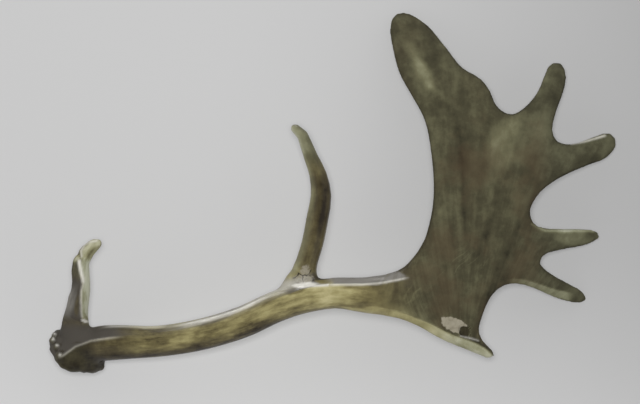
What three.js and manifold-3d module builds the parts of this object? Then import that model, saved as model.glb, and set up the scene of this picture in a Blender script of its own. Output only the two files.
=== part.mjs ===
// A shed fallow deer antler, the left one of a pair, lying on its inner side with its outer face up.
//
// Units are millimetres and +Z is up. X runs from the burr to the points of the palm, Y runs to the side
// that the tines point to, and the antler rests on the plane Z = 0 with its burr, the tip of its front lobe
// and its lowest point. It is one piece of bone, parted here at its main forks: the beam with its burr, the
// brow tine, the trez tine, and the palm with its points and its rear spur.

import * as THREE from "three";
import { ConvexHull } from "three/addons/math/ConvexHull.js";
import { mergeVertices } from "three/addons/utils/BufferGeometryUtils.js";
import Module from "manifold-3d";

// Sizes shared by all of the bone.
const FORK_GAP = 0.3; // air where the bone is parted at a fork
const RING_SPACING = 9; // along a limb, between its rings of vertices
const TIP_LENGTH = 1.3; // a rounded tip's length, as a share of its radius
const TIP_TURNS = [0.4, 0.8, 1.2]; // a tip's rings of vertices, in radians round it from its root
const BEAM_SIDES = 20; // vertices in one ring of the beam
const TINE_SIDES = 16;
const SPUR_SIDES = 12;
const BLOCK = 1200; // a cutting block, larger than the antler
const BONE = { color: 0x75694a, roughness: 0.42, metalness: 0 };

// A station of a limb: a point of its centre line, its half width across the line in the palm's plane, and
// its half depth towards the outer face.
const station = (x, y, z, halfWidth, halfDepth) => ({ at: new THREE.Vector3(x, y, z), halfWidth, halfDepth });

// The main beam, from inside the burr to past PALM_FORK, where it has started to widen into the palm.
const PALM_FORK = 53;
const BEAM = [
  station(-250, -152, 31, 17, 17),
  station(-227, -148, 38, 17.5, 18),
  station(-207, -147, 41, 16.8, 17),
  station(-176, -146, 45, 15.2, 16),
  station(-146, -142, 49, 15.3, 15.5),
  station(-116, -135, 53, 15.4, 15),
  station(-86, -125, 57, 15.4, 15),
  station(-56, -111, 61, 15.3, 15),
  station(-26, -101, 64, 15.5, 15),
  station(3, -97, 66, 15, 14.5),
  station(33, -99, 67, 17.3, 14),
  station(56, -99, 67, 20.3, 13),
];
// Each limb's ridge: its angle at the limb's start and end, its rise as a share of the limb's radius, and how
// far it spreads, in degrees round the limb.
const BEAM_RIDGE = { start: 84, end: 56, rise: 0.12, spread: 24 };

// The brow tine, from inside the burr. It is parted from the beam at BROW_FORK, the number of a station.
const BROW_TINE = [
  station(-253, -151, 29, 20, 18),
  station(-257, -136, 35, 15.5, 15),
  station(-256, -122, 39, 12.2, 13),
  station(-254, -111, 43, 10.7, 11.5),
  station(-250.5, -94, 46, 9, 10),
  station(-250, -78, 48, 8, 8.5),
  station(-249, -66, 49, 7, 7.5),
  station(-242.5, -56, 50, 5.8, 6),
  station(-235, -49, 51, 4.5, 4.5),
];
const BROW_FORK = 3;
const BROW_RIDGE = { start: 110, end: 90, rise: 0.2, spread: 26 };

// The trez tine, from inside the beam.
const TREZ_TINE = [
  station(-45, -108, 58, 15, 11),
  station(-30, -87, 60, 17, 12),
  station(-27, -78, 60, 13, 11.5),
  station(-24.5, -66, 59, 10.5, 10.5),
  station(-19, -48, 57, 10.5, 10.5),
  station(-14, -22, 54, 10.7, 10),
  station(-10.5, 0, 52, 10, 9.5),
  station(-13.5, 21, 52, 8.4, 8.5),
  station(-20, 37, 54, 6.9, 7),
  station(-25, 50, 57, 6, 6),
  station(-29, 60, 60, 5.3, 5.3),
  station(-35, 65.5, 62, 4.3, 4.3),
];
const TREZ_FORK = 3;
const TREZ_RIDGE = { start: 70, end: 110, rise: 0.1, spread: 30 };

// The rear spur: the beam's rear edge, which runs on along the palm as a thick rim and ends in a point.
const SPUR = [
  station(33, -107, 65, 9, 11),
  station(78, -115, 64, 9, 10),
  station(108, -130, 61, 8, 9),
  station(133, -145, 56, 6.5, 8),
  station(155, -157, 49.5, 4.3, 5),
];
const SPUR_RIDGE = { start: 120, end: 120, rise: 0.1, spread: 30 };

// The burr: a flared ring round the seal, where the antler broke from the skull, with a row of bony pearls.
const BURR_CENTRE = new THREE.Vector3(-256.5, -158.5, 23);
const BURR_AXIS = new THREE.Vector3(0.4, 0.69, 0.6).normalize(); // from the seal into the antler
const BURR_PROFILE = [
  // radius, height along the axis
  [0, -8],
  [12, -7.4],
  [21, -4.5],
  [26, -2],
  [28.5, 1],
  [29, 4],
  [27, 8],
  [23, 12],
  [20, 16],
  [18, 24],
  [0, 26],
];
const BURR_SIDES = 32;
const PEARLS = 19;
const PEARL_RING = 25.7; // radius of the ring that the pearls' middles are on
const PEARL_HEIGHT = 3; // of that ring along the axis
const PEARL_RADIUS = 4.2;
const PEARL_LENGTH = 1.2; // along the axis, as a share of a pearl's width
const PEARL_UNEVENNESS = 0.25; // of the pearls' sizes and spacing, as a share

// The palm's outline, from the front edge at the beam, round the points to the rear edge at the beam.
const PALM_OUTLINE = [
  // front edge
  [PALM_FORK, -79], [68, -74], [81, -63], [92, -46], [99, -22],
  [102, 9], [100, 43], [94, 74], [81, 100], [69, 124],
  // front lobe
  [62, 151], [60, 170], [64, 182], [71, 185], [81, 183], [98, 171],
  [114, 150], [131, 128], [149, 117], [158, 106], [166, 89], [180, 81],
  // upper point
  [195, 89], [207, 103], [215, 121], [221, 132], [231, 132], [235.5, 120], [233, 104], [225, 83], [221, 66],
  // second point
  [226, 54], [242, 51], [264, 58], [280, 62], [287, 53],
  [277, 38.5], [255, 29.5], [229, 18], [207, 2], [198, -15],
  // third point
  [203, -29], [219, -34], [251, -34.3], [266, -36], [271.5, -40.3],
  [258, -49.3], [230, -54], [212, -60], [209, -68],
  // lowest point
  [219, -78], [241, -90.5], [254.5, -98.5], [258.5, -105], [252, -108.3], [231, -104], [204, -93], [184, -88],
  // rear edge, past the spur
  [168, -92], [157, -104], [150, -121], [146.5, -134], [150, -145], [157, -152],
  [162.5, -158.5], [161.5, -161.5], [150, -159], [131, -151.5], [108, -141.5],
  [83, -128], [68, -122], [PALM_FORK, -119],
];
const RIM_SPACING = 7; // between the outline's vertices
const RIM_ROWS = [2, 5, 9]; // depths of the rows of vertices that follow the rim
const FACE_SPACING = 16; // between the vertices in the middle of the palm's faces
const LEAST_SPACING = 0.65; // the nearest that vertices come to each other, as a share of their spacing
const LEAST_DEPTH = 0.85; // the nearest that a row's vertex comes to any of the rim, as a share of its depth
const RIM_EDGE = 0.4; // gives the rim's very edge a thickness
const PALM_SWELL = 18; // how far in from the rim the palm reaches its full thickness

// Posts that the palm's middle sheet passes through: x, y, height, and half thickness there.
const PALM_POSTS = [
  [53, -100, 67, 13],
  [98, -89, 65, 10],
  [138, -54, 61, 7],
  [148, 0, 56, 6.5],
  [124, 76, 45, 6.2],
  [94, 131, 29, 6],
  [67, 180, 3, 5.5],
  [226, 128, 24, 6],
  [281, 56, 18, 6],
  [269, -40, 14, 5.5],
  [254, -104, 2.2, 5.5],
  [204, -15, 43, 6.2],
  [138, -134, 55, 7],
  [160, -158, 46, 5],
];

// A pit in the outer face, at the root of the spur.
const PIT_CENTRE = new THREE.Vector3(131, -134, 63.5);
const PIT_HALF_SIZE = new THREE.Vector3(5.5, 4.5, 3.2);
const PIT_SIDES = 14;

const wasm = await Module();
wasm.setup();

// A closed geometry as a solid that can be joined and cut.
function solidOf(geometry) {
  const bare = new THREE.BufferGeometry().setAttribute("position", geometry.getAttribute("position").clone());
  bare.setIndex(geometry.index);
  const merged = mergeVertices(bare, 1e-3);
  return new wasm.Manifold(
    new wasm.Mesh({
      numProp: 3,
      vertProperties: merged.getAttribute("position").array,
      triVerts: new Uint32Array(merged.index.array),
    }),
  );
}

// A solid as a named mesh of bone.
function boneMesh(name, solid) {
  const { vertProperties, triVerts } = solid.getMesh();
  const geometry = new THREE.BufferGeometry()
    .setAttribute("position", new THREE.BufferAttribute(vertProperties, 3))
    .setIndex(new THREE.BufferAttribute(triVerts, 1));
  geometry.computeVertexNormals();
  const mesh = new THREE.Mesh(geometry, new THREE.MeshStandardMaterial(BONE));
  mesh.name = name;
  return mesh;
}

// Rings of vertices, with a flat end or a point at each end, as one closed geometry.
function skin(rings, tip) {
  const sides = rings[0].length;
  const middle = (ring) => ring.reduce((sum, p) => sum.add(p), new THREE.Vector3()).divideScalar(sides);
  const points = [...rings.flat(), middle(rings[0]), tip ?? middle(rings.at(-1))];
  const startPole = points.length - 2;
  const endPole = points.length - 1;
  const lastRing = (rings.length - 1) * sides;
  const index = [];
  for (let k = 0; k < sides; k++) {
    const next = (k + 1) % sides;
    for (let row = 0; row < lastRing; row += sides) {
      index.push(row + k, row + next, row + sides + k);
      index.push(row + next, row + sides + next, row + sides + k);
    }
    index.push(startPole, next, k, endPole, lastRing + k, lastRing + next);
  }
  return new THREE.BufferGeometry().setFromPoints(points).setIndex(index);
}

// A limb of bone from one of its stations to another. It has flat ends, apart from a rounded tip at its last
// station. Its sections are ovals with a ridge that turns from the ridge's start to its end angle: 90 degrees
// faces outwards, and 0 and 180 degrees are the limb's sides. A parted limb starts a gap past its fork.
function limb(stations, sides, ridge, first = 0, last = stations.length - 1, gap = 0) {
  const line = new THREE.CatmullRomCurve3(stations.map((s) => s.at));
  const halves = stations.map((s) => new THREE.Vector3(s.halfWidth, s.halfDepth, 0));
  const sizes = new THREE.CatmullRomCurve3(halves);
  const outwards = new THREE.Vector3(0, 0, 1);

  const ringAt = (share, forward, scale) => {
    const along = line.getTangent(share);
    const across = new THREE.Vector3().crossVectors(outwards, along).normalize();
    const deep = new THREE.Vector3().crossVectors(along, across);
    const centre = line.getPoint(share).addScaledVector(along, forward);
    const { x: halfWidth, y: halfDepth } = sizes.getPoint(share).multiplyScalar(scale);
    const ridgeAngle = THREE.MathUtils.lerp(ridge.start, ridge.end, share);
    return Array.from({ length: sides }, (_, k) => {
      const offRidge = (k / sides) * 360;
      const swell = 1 + ridge.rise * Math.exp(-Math.min(offRidge, 360 - offRidge) / ridge.spread);
      const angle = THREE.MathUtils.degToRad(ridgeAngle + offRidge);
      return centre
        .clone()
        .addScaledVector(across, Math.cos(angle) * halfWidth * swell)
        .addScaledVector(deep, Math.sin(angle) * halfDepth * swell);
    });
  };

  const spans = stations.length - 1;
  const rings = [ringAt(first / spans, gap, 1)];
  for (let k = first; k < last; k++) {
    const steps = Math.max(1, Math.round(stations[k].at.distanceTo(stations[k + 1].at) / RING_SPACING));
    for (let n = 1; n <= steps; n++) rings.push(ringAt((k + n / steps) / spans, 0, 1));
  }
  if (last < spans) return skin(rings);

  const end = stations[last];
  const tipLength = ((end.halfWidth + end.halfDepth) / 2) * TIP_LENGTH;
  for (const turn of TIP_TURNS) rings.push(ringAt(1, tipLength * Math.sin(turn), Math.cos(turn)));
  const tip = line.getPoint(1).addScaledVector(line.getTangent(1), tipLength);
  return skin(rings, tip);
}

// The burr, turned on its profile, with its uneven pearls round the ring, set on its axis.
function burr() {
  const turned = new THREE.Quaternion().setFromUnitVectors(new THREE.Vector3(0, 1, 0), BURR_AXIS);
  const onAxis = new THREE.Matrix4().makeRotationFromQuaternion(turned).setPosition(BURR_CENTRE);
  const profile = BURR_PROFILE.map(([radius, height]) => new THREE.Vector2(radius, height));
  let solid = solidOf(new THREE.LatheGeometry(profile, BURR_SIDES).applyMatrix4(onAxis));
  for (let k = 0; k < PEARLS; k++) {
    const turn = ((k + PEARL_UNEVENNESS * Math.sin(5 * k)) / PEARLS) * 2 * Math.PI;
    const radius = PEARL_RADIUS * (1 + PEARL_UNEVENNESS * Math.sin(2.4 * k));
    const height = PEARL_HEIGHT + Math.sin(1.7 * k);
    const pearl = new THREE.IcosahedronGeometry(radius, 1)
      .scale(1, PEARL_LENGTH, 1)
      .translate(PEARL_RING * Math.cos(turn), height, PEARL_RING * Math.sin(turn))
      .applyMatrix4(onAxis);
    solid = solid.add(solidOf(pearl));
  }
  return solid;
}

// The smoothest sheet through posts of x, y and a value: a thin plate spline, as a function of x and y.
function sheetThrough(posts) {
  const kernel = (dx, dy) => {
    const r2 = dx * dx + dy * dy;
    return r2 > 0 ? r2 * Math.log(r2) : 0;
  };
  const pulls = (x, y) => posts.map(([u, v]) => kernel(x - u, y - v));
  const rows = posts.map(([x, y, value]) => [...pulls(x, y), 1, x, y, value]);
  for (const side of [() => 1, ([x]) => x, ([, y]) => y]) rows.push([...posts.map(side), 0, 0, 0, 0]);
  const size = rows.length;
  for (let k = 0; k < size; k++) {
    let pivot = k;
    for (let n = k; n < size; n++) {
      if (Math.abs(rows[n][k]) > Math.abs(rows[pivot][k])) pivot = n;
    }
    [rows[k], rows[pivot]] = [rows[pivot], rows[k]];
    for (let n = 0; n < size; n++) {
      if (n === k) continue;
      const share = rows[n][k] / rows[k][k];
      rows[n] = rows[n].map((value, column) => value - share * rows[k][column]);
    }
  }
  const weights = rows.map((row, k) => row[size] / row[k]);
  const [level, slopeX, slopeY] = weights.slice(-3);
  const planeAt = (x, y) => level + slopeX * x + slopeY * y;
  return (x, y) => pulls(x, y).reduce((sum, pull, k) => sum + weights[k] * pull, planeAt(x, y));
}

// How far a place is from an open outline.
function distanceTo(outline, place) {
  const nearest = new THREE.Vector3();
  const edge = new THREE.Line3();
  let least = Infinity;
  for (let k = 1; k < outline.length; k++) {
    edge.set(outline[k - 1], outline[k]).closestPointToPoint(place, true, nearest);
    least = Math.min(least, nearest.distanceTo(place));
  }
  return least;
}

// Whether a place is inside a closed outline: a line from it along X then crosses the outline an odd number
// of times.
function isInside(outline, place) {
  return outline.reduce((inside, p, k) => {
    const q = outline.at(k - 1);
    const crosses = p.y > place.y !== q.y > place.y;
    const crossing = p.x + ((place.y - p.y) / (q.y - p.y)) * (q.x - p.x);
    return crosses && crossing > place.x ? !inside : inside;
  }, false);
}

// The palm's vertices in plan, inside its closed outline: rows that follow the rim, then a staggered grid.
function placesInside(outline, rim) {
  const places = [];
  const keep = (place, depth, spacing) => {
    if (distanceTo(rim, place) < depth || !isInside(outline, place)) return;
    if (places.some((p) => p.distanceTo(place) < spacing * LEAST_SPACING)) return;
    places.push(place);
  };

  for (const depth of RIM_ROWS) {
    for (let k = 1; k < rim.length - 1; k++) {
      const along = new THREE.Vector3().subVectors(rim[k + 1], rim[k - 1]).normalize();
      const inwards = new THREE.Vector3(along.y, -along.x, 0);
      keep(rim[k].clone().addScaledVector(inwards, depth), depth * LEAST_DEPTH, RIM_SPACING);
    }
  }

  const { min, max } = new THREE.Box3().setFromPoints(outline);
  const rowHeight = FACE_SPACING * Math.sin(Math.PI / 3);
  const gridDepth = RIM_ROWS.at(-1) + FACE_SPACING * LEAST_SPACING;
  for (let row = 0; min.y + row * rowHeight < max.y; row++) {
    for (let x = min.x + (row % 2) * (FACE_SPACING / 2); x < max.x; x += FACE_SPACING) {
      keep(new THREE.Vector3(x, min.y + row * rowHeight, 0), gridDepth, FACE_SPACING);
    }
  }
  return places;
}

// Well-shaped triangles between places of a plane, as threes of their numbers: the underside of the hull
// round the places when each is raised onto a round bowl, whose steepness doesn't matter.
function trianglesBetween(places) {
  const raised = places.map(({ x, y }) => new THREE.Vector3(x, y, (x * x + y * y) / BLOCK));
  const numbers = new Map(raised.map((p, k) => [p, k]));
  const underside = new ConvexHull().setFromPoints(raised).faces.filter((face) => face.normal.z < 0);
  return underside.map(({ edge }) => [edge, edge.next, edge.prev].map((e) => numbers.get(e.head().point)));
}

// The palm: a plate of its outline, thinner towards its rim, with its middle on a sheet.
function palmPlate() {
  const curve = new THREE.CatmullRomCurve3(PALM_OUTLINE.map(([x, y]) => new THREE.Vector3(x, y, 0)));
  const rim = curve.getSpacedPoints(Math.round(curve.getLength() / RIM_SPACING));
  const forkEdge = new THREE.LineCurve3(rim.at(-1), rim[0]);
  const forkPoints = forkEdge.getPoints(Math.round(forkEdge.getLength() / RIM_SPACING)).slice(1, -1);
  const outline = [...rim, ...forkPoints];
  const places = [...outline, ...placesInside(outline, rim)];

  const heightAt = sheetThrough(PALM_POSTS.map(([x, y, height]) => [x, y, height]));
  const halfThicknessAt = sheetThrough(PALM_POSTS.map(([x, y, , half]) => [x, y, half]));
  const face = (side) =>
    places.map((place) => {
      const inwards = Math.min(1, (distanceTo(rim, place) + RIM_EDGE) / (PALM_SWELL + RIM_EDGE));
      const half = halfThicknessAt(place.x, place.y) * Math.sqrt(1 - (1 - inwards) ** 2);
      return new THREE.Vector3(place.x, place.y, heightAt(place.x, place.y) + side * half);
    });

  const inner = places.length; // the number of the first vertex of the inner face
  const index = [];
  for (const [a, b, c] of trianglesBetween(places)) {
    const middle = new THREE.Vector3().add(places[a]).add(places[b]).add(places[c]).divideScalar(3);
    if (isInside(outline, middle)) index.push(a, c, b, inner + a, inner + b, inner + c);
  }
  for (let k = 0; k < outline.length; k++) {
    const next = (k + 1) % outline.length;
    index.push(k, next, inner + k, next, inner + next, inner + k);
  }
  return new THREE.BufferGeometry().setFromPoints([...face(1), ...face(-1)]).setIndex(index);
}

// Blocks that take away the bone below the resting plane, and on either side of the palm's fork.
const blockAt = (x, z) => solidOf(new THREE.BoxGeometry(BLOCK, BLOCK, BLOCK).translate(x, 0, z));
const floor = blockAt(0, -BLOCK / 2);
const beforeFork = blockAt(PALM_FORK + FORK_GAP - BLOCK / 2, 0);
const pastFork = blockAt(PALM_FORK + BLOCK / 2, 0);

const beam = solidOf(limb(BEAM, BEAM_SIDES, BEAM_RIDGE))
  .add(burr())
  .add(solidOf(limb(BROW_TINE, TINE_SIDES, BROW_RIDGE, 0, BROW_FORK)))
  .add(solidOf(limb(TREZ_TINE, TINE_SIDES, TREZ_RIDGE, 0, TREZ_FORK)))
  .subtract(pastFork)
  .subtract(floor);
const browTine = solidOf(limb(BROW_TINE, TINE_SIDES, BROW_RIDGE, BROW_FORK, undefined, FORK_GAP));
const trezTine = solidOf(limb(TREZ_TINE, TINE_SIDES, TREZ_RIDGE, TREZ_FORK, undefined, FORK_GAP));
const pit = new THREE.SphereGeometry(1, PIT_SIDES, PIT_SIDES / 2)
  .scale(...PIT_HALF_SIZE)
  .translate(...PIT_CENTRE);
const palm = solidOf(palmPlate())
  .add(solidOf(limb(SPUR, SPUR_SIDES, SPUR_RIDGE)))
  .subtract(solidOf(pit))
  .subtract(beforeFork)
  .subtract(floor);

const antler = new THREE.Group();
antler.add(boneMesh("beam", beam), boneMesh("brow_tine", browTine), boneMesh("trez_tine", trezTine));
antler.add(boneMesh("palm", palm));

// The origin is on the resting plane, under the middle of the antler.
const middle = new THREE.Box3().setFromObject(antler).getCenter(new THREE.Vector3());
antler.position.set(-middle.x, -middle.y, 0);

export default antler;
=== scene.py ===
import math
import bmesh
import bpy
import numpy as np
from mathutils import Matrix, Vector, noise


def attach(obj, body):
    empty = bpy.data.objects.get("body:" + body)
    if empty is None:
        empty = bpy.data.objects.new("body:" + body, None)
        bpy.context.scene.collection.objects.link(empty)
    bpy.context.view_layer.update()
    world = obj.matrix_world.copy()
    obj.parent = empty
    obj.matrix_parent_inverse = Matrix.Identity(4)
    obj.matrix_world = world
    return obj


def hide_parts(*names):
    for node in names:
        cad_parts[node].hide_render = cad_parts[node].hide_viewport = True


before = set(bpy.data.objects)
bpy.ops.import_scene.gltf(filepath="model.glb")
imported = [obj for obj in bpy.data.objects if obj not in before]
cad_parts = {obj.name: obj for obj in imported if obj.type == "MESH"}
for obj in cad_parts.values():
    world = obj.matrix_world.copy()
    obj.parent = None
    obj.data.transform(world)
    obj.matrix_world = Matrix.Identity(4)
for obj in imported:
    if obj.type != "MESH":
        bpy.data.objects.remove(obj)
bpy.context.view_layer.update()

# The bone: one solid piece that the deer grew and cast, from the burr to the points of the palm. The frame's
# four solids meet at flat cuts, so copies of them are swollen by a hair, run together into one skin of small
# even squares, and smoothed until neither the facets nor the cuts show.
SWELL = 0.0004
SKIN_SQUARE = 0.00142
SMOOTH_KEEPING_SIZE = (0.5, -0.53)
SMOOTH_FLAT = (0.5,)
FORK_HOLLOWS = [
    ((-0.0480, -0.0900, 0.0620), 0.006, 0.020), ((-0.0130, -0.0830, 0.0620), 0.005, 0.015),
    ((-0.2410, -0.1270, 0.0480), 0.005, 0.014), ((-0.2690, -0.1400, 0.0400), 0.006, 0.018),
    ((-0.2520, -0.1330, 0.0560), 0.010, 0.022), ((-0.2455, -0.1365, 0.0500), 0.007, 0.018),
]
BURR_FRONT = ((-0.2510, -0.1700, 0.0520), 0.018, 0.031)

blank = bmesh.new()
for solid in ("beam", "brow_tine", "trez_tine", "palm"):
    blank.from_mesh(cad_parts[solid].data)
bmesh.ops.remove_doubles(blank, verts=blank.verts, dist=1e-6)
blank.normal_update()
for corner in blank.verts:
    corner.co += corner.normal * SWELL
blank_mesh = bpy.data.meshes.new("antler_blank")
blank.to_mesh(blank_mesh)
blank.free()
antler = bpy.data.objects.new("antler", blank_mesh)
bpy.context.collection.objects.link(antler)
one_skin = antler.modifiers.new("one_skin", "REMESH")
one_skin.mode = "VOXEL"
one_skin.voxel_size = SKIN_SQUARE
skin = bpy.data.meshes.new_from_object(antler.evaluated_get(bpy.context.evaluated_depsgraph_get()))
antler.modifiers.clear()
antler.data = skin
bpy.data.meshes.remove(blank_mesh)

count = len(skin.vertices)
place = np.empty(count * 3)
skin.vertices.foreach_get("co", place)
place = place.reshape(-1, 3)
edges = np.empty(len(skin.edges) * 2, dtype=np.int32)
skin.edges.foreach_get("vertices", edges)
edges = edges.reshape(-1, 2)
near_end = np.concatenate([edges[:, 0], edges[:, 1]])
far_end = np.concatenate([edges[:, 1], edges[:, 0]])
neighbours = np.bincount(near_end, minlength=count)


def neighbour_mean(values):
    """The mean of each vertex's neighbours, for one value a vertex."""
    return np.bincount(near_end, values[far_end], count) / neighbours


def neighbour_middle(points):
    """The middle of each vertex's neighbours, for one point a vertex."""
    return np.stack([neighbour_mean(points[:, axis]) for axis in range(3)], 1)


def smoothed(points, rounds, pulls, strength):
    """Points moved towards the middle of their neighbours, once for each pull in every round."""
    for _ in range(rounds):
        for pull in pulls:
            points = points + (neighbour_middle(points) - points) * (pull * strength)[:, None]
    return points


def laid_normals(points):
    """The skin laid on these points, and the directions it faces there."""
    skin.vertices.foreach_set("co", points.ravel())
    skin.update()
    faced = np.empty(count * 3)
    skin.vertex_normals.foreach_get("vector", faced)
    return faced.reshape(-1, 3)


def ramp(values, start, end):
    """0 at start, 1 at end, and a slope that eases in and out between them."""
    share = np.clip((values - start) / (end - start), 0, 1)
    return share * share * (3 - 2 * share)


def fade(values, start, end):
    """1 at start, 0 at end, and a slope that eases in and out between them."""
    return 1 - ramp(values, start, end)


def ball(middle, inner, outer):
    """1 within the inner distance of a point, 0 past the outer one."""
    return fade(np.linalg.norm(place - np.array(middle), axis=1), inner, outer)


place = smoothed(place, rounds=18, pulls=SMOOTH_KEEPING_SIZE, strength=np.ones(count))
facing = laid_normals(place)
broad_face = ramp(place[:, 0], 0.055, 0.085) * ramp(np.abs(facing[:, 2]), 0.80, 0.96)
for _ in range(6):
    broad_face = np.minimum(broad_face, neighbour_mean(broad_face))
place = smoothed(place, rounds=70, pulls=SMOOTH_FLAT, strength=broad_face)
for hollow_ball in FORK_HOLLOWS:
    place = smoothed(place, rounds=55, pulls=SMOOTH_FLAT, strength=ball(*hollow_ball))
place = smoothed(place, rounds=70, pulls=SMOOTH_FLAT, strength=0.9 * ball(*BURR_FRONT))
facing = laid_normals(place)
x, y, z = place.T
faces_x, faces_y, faces_up = facing.T
upper = ramp(faces_up, -0.1, 0.25)
sideways = fade(np.abs(faces_up), 0.55, 0.9)
lift = np.zeros(count)

# The beam: the thick round stem of the antler, hard bone round a spongy core. A ridge runs along it from the
# burr to the palm, with a flatter face above it and shallow furrows, where blood vessels lay as it grew.
BEAM_LINE = [
    (-0.2515, -0.1539, 0.031), (-0.2285, -0.1499, 0.038), (-0.2085, -0.1489, 0.041),
    (-0.1775, -0.1479, 0.045), (-0.1475, -0.1439, 0.049), (-0.1175, -0.1369, 0.053),
    (-0.0875, -0.1269, 0.057), (-0.0575, -0.1129, 0.061), (-0.0275, -0.1029, 0.064),
    (0.0015, -0.0989, 0.066), (0.0315, -0.1009, 0.067), (0.0545, -0.1009, 0.067),
]
BEAM_RADIUS = 0.0155
LINE_STEP = 0.002
BATCH = 4000
RIDGE_ANGLE = ((0, 0.035, 0.08, 0.2, 0.25, 0.33), (86, 68, 64, 62, 60, 57))
RIDGE_HEIGHT = ((0.03, 0.07, 0.225, 0.25), (0.0008, 0.0002, 0.0002, 0.0014))
RIDGE_SPREAD = 0.0024
SHOULDER_ANGLE = ((0.05, 0.10, 0.20, 0.25, 0.33), (26, 30, 34, 30, 20))
SHOULDER_HEIGHT = 0.0009
SHOULDER_SPREAD = 0.002
TROUGH_ANGLE = ((0, 0.325), (84, 56))
TROUGH_DEPTH = 0.0011
TROUGH_SPREAD = 0.0065
FURROW_DEPTH = 0.0003
FACET_EDGE = [
    (-0.0050, -0.0908), (0.0069, -0.0904), (0.0286, -0.0904), (0.0434, -0.0894), (0.0524, -0.0880),
    (0.0623, -0.0861), (0.0702, -0.0843), (0.0742, -0.0836),
]
FACET_HEIGHT = 0.0014
FACET_WIDTH = ((0.0580, 0.0644, 0.0694, 0.0742), (0.0125, 0.0080, 0.0044, 0.0010))
# Tone along the beam: its dark start beside the burr is painted shade, the rest the bone's own stain.
BEAM_TONE = (
    (0, 0.04, 0.07, 0.12, 0.18, 0.25, 0.28, 0.30, 0.335),
    (0.20, 0.26, 0.52, 0.51, 0.53, 0.85, 0.54, 0.45, 0.40),
)
# How strong the painted grey sheen is along the beam's flat face.
BEAM_SHEEN = ((0.035, 0.065, 0.14, 0.20, 0.24), (0.9, 0.0, 0.0, 0.25, 1.0))


def along_limb(line, start=0.0):
    """Each vertex as seen from a limb's middle line: metres along it, across it and out from it, and the
    angle round it, 0 on the side that lies left of the limb's direction and 90 on the side facing up."""
    line = np.array(line)
    reach = np.concatenate([[0], np.cumsum(np.linalg.norm(np.diff(line, axis=0), axis=1))])
    steps = np.arange(0, reach[-1], LINE_STEP)
    path = np.stack([np.interp(steps, reach, line[:, axis]) for axis in range(3)], 1)
    for _ in range(4):
        path[1:-1] = (path[:-2] + 2 * path[1:-1] + path[2:]) / 4
    ahead = np.gradient(path, axis=0)
    ahead /= np.linalg.norm(ahead, axis=1)[:, None]
    left = np.cross((0, 0, 1), ahead)
    left /= np.linalg.norm(left, axis=1)[:, None]
    up = np.cross(ahead, left)
    nearest = np.empty(count, dtype=int)
    for first in range(0, count, BATCH):
        offset = place[first:first + BATCH, None, :] - path[None]
        nearest[first:first + BATCH] = np.einsum("ijk,ijk->ij", offset, offset).argmin(1)
    offset = place - path[nearest]
    along = start + steps[nearest] + np.einsum("ij,ij->i", offset, ahead[nearest])
    across = np.einsum("ij,ij->i", offset, left[nearest])
    out = np.einsum("ij,ij->i", offset, up[nearest])
    return along, across, out, np.degrees(np.arctan2(out, across))


def past_line(line):
    """How far each vertex lies from a line, seen from above: above zero on the line's left."""
    gap = np.full(count, 1.0)
    side = np.ones(count)
    for (start_x, start_y), (end_x, end_y) in zip(line[:-1], line[1:]):
        run_x = end_x - start_x
        run_y = end_y - start_y
        share = ((x - start_x) * run_x + (y - start_y) * run_y) / (run_x ** 2 + run_y ** 2)
        share = np.clip(share, 0, 1)
        off_x = x - start_x - share * run_x
        off_y = y - start_y - share * run_y
        off = np.hypot(off_x, off_y)
        nearer = off < gap
        gap = np.where(nearer, off, gap)
        side = np.where(nearer, np.sign(run_x * off_y - run_y * off_x), side)
    return gap * side


def between(values, start, full, ebb, end):
    """1 from full to ebb, easing to 0 at start and at end."""
    return ramp(values, start, full) * fade(values, ebb, end)


def sharp_line(gap, spread):
    """1 on a line, with flanks that fall away from a sharp edge within the spread."""
    return np.exp(-np.abs(gap) / spread)


def soft_line(gap, width):
    """1 on a line, fading out softly past this width."""
    return np.exp(-(gap / width) ** 2)


def beam_crest(at, height, spread):
    """A sharp crest along the beam at this angle round it."""
    off = np.radians(np.abs((beam_angle - at + 180) % 360 - 180)) * BEAM_RADIUS
    return height * sharp_line(off, spread)


def clouds(spots):
    """Smooth uneven values from about -1 to 1."""
    return np.array([noise.noise(s) for s in spots])


def fibres(grain, long, wide, shift=0.0):
    """Uneven streaks from -1 to 1 that follow the grain, about this long and wide in metres."""
    return clouds(grain / (long, wide, wide) + shift)


beam_along, beam_across, beam_out, beam_angle = along_limb(BEAM_LINE)
beam_grain = np.stack([beam_along, beam_across, beam_out], 1)
on_beam = ramp(beam_along, 0.012, 0.035) * fade(x, 0.045, 0.085)
on_beam *= fade(np.hypot(beam_across, beam_out), 0.019, 0.026)
ridge_angle = np.interp(beam_along, *RIDGE_ANGLE)
shoulder_angle = np.interp(beam_along, *SHOULDER_ANGLE)
trough_angle = np.interp(beam_along, *TROUGH_ANGLE)
facet_start = ramp(beam_along, 0.225, 0.25)
facet_gap = past_line(FACET_EDGE)
by_facet = between(x, -0.012, 0.004, 0.066, 0.078)
ridge_height = np.interp(beam_along, *RIDGE_HEIGHT)
lift += on_beam * (1 - by_facet) * beam_crest(ridge_angle, ridge_height, RIDGE_SPREAD)
lift += upper * by_facet * FACET_HEIGHT * sharp_line(facet_gap, RIDGE_SPREAD)
mid_beam = on_beam * ramp(beam_along, 0.05, 0.09) * (1 - facet_start)
lift -= mid_beam * beam_crest(trough_angle, TROUGH_DEPTH, TROUGH_SPREAD)
shoulder_rise = on_beam * ramp(beam_along, 0.07, 0.15)
lift += shoulder_rise * beam_crest(shoulder_angle, SHOULDER_HEIGHT, SHOULDER_SPREAD)
beam_furrows = fibres(beam_grain, 0.075, 0.0075) + 0.5 * fibres(beam_grain, 0.035, 0.0038, 7.0)
lift += on_beam * FURROW_DEPTH * beam_furrows * ramp(np.abs(beam_angle), 60, 75)
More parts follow.
